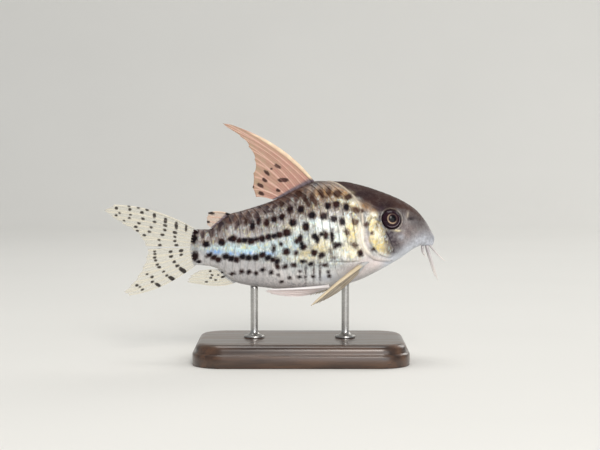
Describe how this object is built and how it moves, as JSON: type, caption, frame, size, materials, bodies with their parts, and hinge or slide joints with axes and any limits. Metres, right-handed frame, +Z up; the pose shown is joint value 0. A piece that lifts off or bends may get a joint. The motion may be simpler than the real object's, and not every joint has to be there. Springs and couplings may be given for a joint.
{
  "type": "corydoras catfish",
  "caption": "Life-size model of a spotted corydoras catfish, swimming, with plated flanks, a tall dorsal fin, forked tail and barbels, on a plain display stand.",
  "frame": {"origin": "centre of the bounding box's foot, on the table, in the fish's middle plane", "axes": "+X towards the snout, +Y towards the fish's left, +Z up"},
  "size_m": [0.0764, 0.03, 0.0533],
  "materials": {
    "head": "wet skin over bone, dark brown above and pale below",
    "plates": "wet, silvery plates with dark spots",
    "gill_cover": "bright gold sheen",
    "eye": "dark, with a gold ring and a clear cornea",
    "barbel": "soft, pale brown feelers",
    "dorsal_fin": "thin, dusky pink membrane with dark spots",
    "pectoral_fin": "cream membrane behind a golden spine",
    "fin": "thin, clear membrane with pale rays and rows of dots",
    "stand_base": "dark, satin varnish",
    "stand_rod": "brushed"
  },
  "bodies": {
    "root": {"head": "head", "trunk": "plates", "tail_stem": "plates", "gill_cover_left": "gill_cover", "gill_cover_right": "gill_cover", "eye_left": "eye", "eye_right": "eye", "barbel_long_left": "barbel", "barbel_long_right": "barbel", "barbel_front_left": "barbel", "barbel_front_right": "barbel", "barbel_chin_left": "barbel", "barbel_chin_right": "barbel", "dorsal_fin": "dorsal_fin", "adipose_fin": "dorsal_fin", "tail_fin_upper": "fin", "tail_fin_lower": "fin", "anal_fin": "fin", "pectoral_fin_left": "pectoral_fin", "pectoral_fin_right": "pectoral_fin", "pelvic_fin_left": "fin", "pelvic_fin_right": "fin", "stand_base": "stand_base", "stand_rod_front": "stand_rod", "stand_rod_rear": "stand_rod"}
  },
  "joints": []
}
